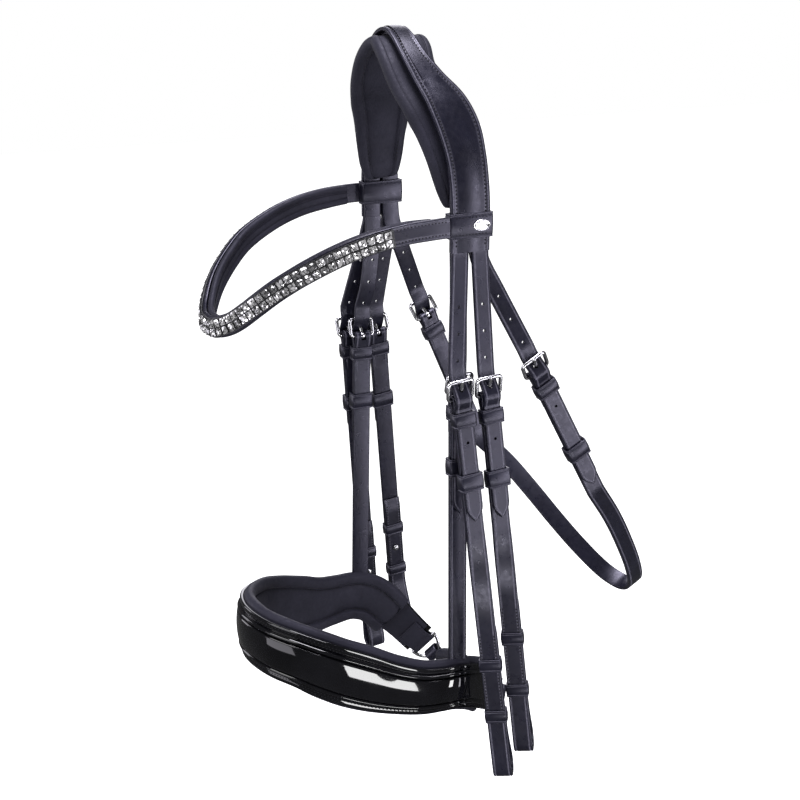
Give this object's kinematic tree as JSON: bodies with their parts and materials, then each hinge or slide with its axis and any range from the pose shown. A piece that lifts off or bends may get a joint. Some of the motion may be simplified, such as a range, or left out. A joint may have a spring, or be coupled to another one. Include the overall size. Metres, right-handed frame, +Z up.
{
  "type": "bridle headstall",
  "caption": "Padded black leather dressage bridle headstall with two bit cheekpieces a side, a wide patent noseband, a stone-set browband and a throatlatch.",
  "frame": {"origin": "the middle of the crown padding's underside, where the bridle rests on the poll", "axes": "+X to the horse's left (near) side, -Y towards its nose, +Z up"},
  "size_m": [0.2579, 0.3776, 0.5544],
  "materials": {
    "bridle_leather": "smooth black bridle leather with a soft sheen, black stitching",
    "patent_leather": "black patent leather with a hard gloss",
    "soft_padding": "matt soft leather over foam",
    "steel": "polished stainless steel",
    "crystal": "cut glass stones, clear and smoky",
    "stone_setting": "black backing strip under the stones",
    "badge": "plain polished oval plate"
  },
  "bodies": {
    "root": {"headpiece": "bridle_leather", "crown_pad": "soft_padding", "noseband_sliphead": "bridle_leather", "throat_billet_near": "bridle_leather", "throat_billet_off": "bridle_leather", "front_cheek_near": "bridle_leather", "front_cheek_off": "bridle_leather", "rear_cheek_near": "bridle_leather", "rear_cheek_off": "bridle_leather", "hanger_near": "bridle_leather", "hanger_off": "bridle_leather", "throatlatch": "bridle_leather", "buckle_frames_near": "steel", "buckle_frames_off": "steel", "fixed_keepers_near": "bridle_leather", "fixed_keepers_off": "bridle_leather", "loop_keepers_near": "bridle_leather", "loop_keepers_off": "bridle_leather", "hook_studs_near": "steel", "hook_studs_off": "steel", "noseband_leather": "patent_leather", "noseband_panel": "patent_leather", "noseband_padding": "soft_padding", "ring_tab_near": "soft_padding", "ring_tab_off": "soft_padding", "chin_pad": "soft_padding", "chin_strap": "bridle_leather", "chin_billet": "bridle_leather", "chin_buckle": "steel", "chin_keeper": "bridle_leather"},
    "browband": {"browband": "bridle_leather", "browband_lining": "soft_padding", "browband_loop_near": "bridle_leather", "browband_loop_off": "bridle_leather", "stone_channel": "stone_setting", "stones_upper": "crystal", "stones_lower": "crystal", "badge_plate": "badge"},
    "tongue_front_near": {"tongue_front_near": "steel"},
    "tongue_front_off": {"tongue_front_off": "steel"},
    "tongue_rear_near": {"tongue_rear_near": "steel"},
    "tongue_rear_off": {"tongue_rear_off": "steel"},
    "tongue_hanger_near": {"tongue_hanger_near": "steel"},
    "tongue_hanger_off": {"tongue_hanger_off": "steel"},
    "tongue_throat_near": {"tongue_throat_near": "steel"},
    "tongue_throat_off": {"tongue_throat_off": "steel"},
    "runner_front_near": {"runner_front_near": "bridle_leather"},
    "runner_front_off": {"runner_front_off": "bridle_leather"},
    "runner_rear_near": {"runner_rear_near": "bridle_leather"},
    "runner_rear_off": {"runner_rear_off": "bridle_leather"},
    "runner_hanger_near": {"runner_hanger_near": "bridle_leather"},
    "runner_hanger_off": {"runner_hanger_off": "bridle_leather"},
    "runner_throat_near": {"runner_throat_near": "bridle_leather"},
    "runner_throat_off": {"runner_throat_off": "bridle_leather"},
    "chin_tongue": {"chin_tongue": "steel"},
    "ring_near": {"ring_near": "steel"},
    "ring_off": {"ring_off": "steel"}
  },
  "joints": [
    {"name": "browband_slide", "type": "slide", "parent": "root", "child": "browband", "axis": [0, 0, 1], "range_m": [-0.004, 0.002]},
    {"name": "tongue_front_near_turn", "type": "hinge", "parent": "root", "child": "tongue_front_near", "pos_m": [0.096, 0.005, -0.237], "axis": [-0.0083, 0.9963, 0.0855], "range_deg": [0, 4]},
    {"name": "tongue_front_off_turn", "type": "hinge", "parent": "root", "child": "tongue_front_off", "pos_m": [-0.096, 0.005, -0.237], "axis": [-0.0098, -0.9948, -0.1018], "range_deg": [0, 4]},
    {"name": "tongue_rear_near_turn", "type": "hinge", "parent": "root", "child": "tongue_rear_near", "pos_m": [0.094, 0.029, -0.238], "axis": [-0.0076, 0.9978, 0.0666], "range_deg": [0, 4]},
    {"name": "tongue_rear_off_turn", "type": "hinge", "parent": "root", "child": "tongue_rear_off", "pos_m": [-0.094, 0.029, -0.238], "axis": [-0.0139, -0.9924, -0.122], "range_deg": [0, 4]},
    {"name": "tongue_hanger_near_turn", "type": "hinge", "parent": "root", "child": "tongue_hanger_near", "pos_m": [0.083, 0.01, -0.236], "axis": [0.0001, 1, -0.0044], "range_deg": [0, 4]},
    {"name": "tongue_hanger_off_turn", "type": "hinge", "parent": "root", "child": "tongue_hanger_off", "pos_m": [-0.083, 0.01, -0.236], "axis": [0.0001, -1, 0.0044], "range_deg": [0, 4]},
    {"name": "tongue_throat_near_turn", "type": "hinge", "parent": "root", "child": "tongue_throat_near", "pos_m": [0.088, 0.073, -0.228], "axis": [0.0297, 0.8708, 0.4908], "range_deg": [0, 4]},
    {"name": "tongue_throat_off_turn", "type": "hinge", "parent": "root", "child": "tongue_throat_off", "pos_m": [-0.088, 0.072, -0.227], "axis": [0.0244, -0.9219, -0.3866], "range_deg": [0, 4]},
    {"name": "runner_front_near_slide", "type": "slide", "parent": "root", "child": "runner_front_near", "axis": [-0.0959, -0.0859, 0.9917], "range_m": [-0.018, 0.033]},
    {"name": "runner_front_off_slide", "type": "slide", "parent": "root", "child": "runner_front_off", "axis": [0.0957, -0.1023, 0.9901], "range_m": [-0.018, 0.033]},
    {"name": "runner_rear_near_slide", "type": "slide", "parent": "root", "child": "runner_rear_near", "axis": [-0.1129, -0.067, 0.9913], "range_m": [-0.018, 0.033]},
    {"name": "runner_rear_off_slide", "type": "slide", "parent": "root", "child": "runner_rear_off", "axis": [0.1123, -0.1228, 0.9861], "range_m": [-0.018, 0.033]},
    {"name": "runner_hanger_near_slide", "type": "slide", "parent": "root", "child": "runner_hanger_near", "axis": [-0.0292, 0.0044, 0.9996], "range_m": [-0.018, 0.027]},
    {"name": "runner_hanger_off_slide", "type": "slide", "parent": "root", "child": "runner_hanger_off", "axis": [0.0292, 0.0044, 0.9996], "range_m": [-0.018, 0.027]},
    {"name": "runner_throat_near_slide", "type": "slide", "parent": "root", "child": "runner_throat_near", "axis": [0.0527, -0.4917, 0.8692], "range_m": [-0.018, 0.045]},
    {"name": "runner_throat_off_slide", "type": "slide", "parent": "root", "child": "runner_throat_off", "axis": [-0.0581, -0.3874, 0.9201], "range_m": [-0.018, 0.045]},
    {"name": "chin_tongue_turn", "type": "hinge", "parent": "root", "child": "chin_tongue", "pos_m": [0.026, 0.071, -0.508], "axis": [-0.2085, 0.0149, 0.9779], "range_deg": [0, 4]},
    {"name": "ring_near_swing", "type": "hinge", "parent": "root", "child": "ring_near", "pos_m": [0.06729, 0.05571, -0.49635], "axis": [-0.3695, 0.3695, 0.8526], "range_deg": [-6, 6]},
    {"name": "ring_off_swing", "type": "hinge", "parent": "root", "child": "ring_off", "pos_m": [-0.06986, 0.06057, -0.519], "axis": [-0.4273, -0.5127, -0.7447], "range_deg": [-6, 6]}
  ]
}
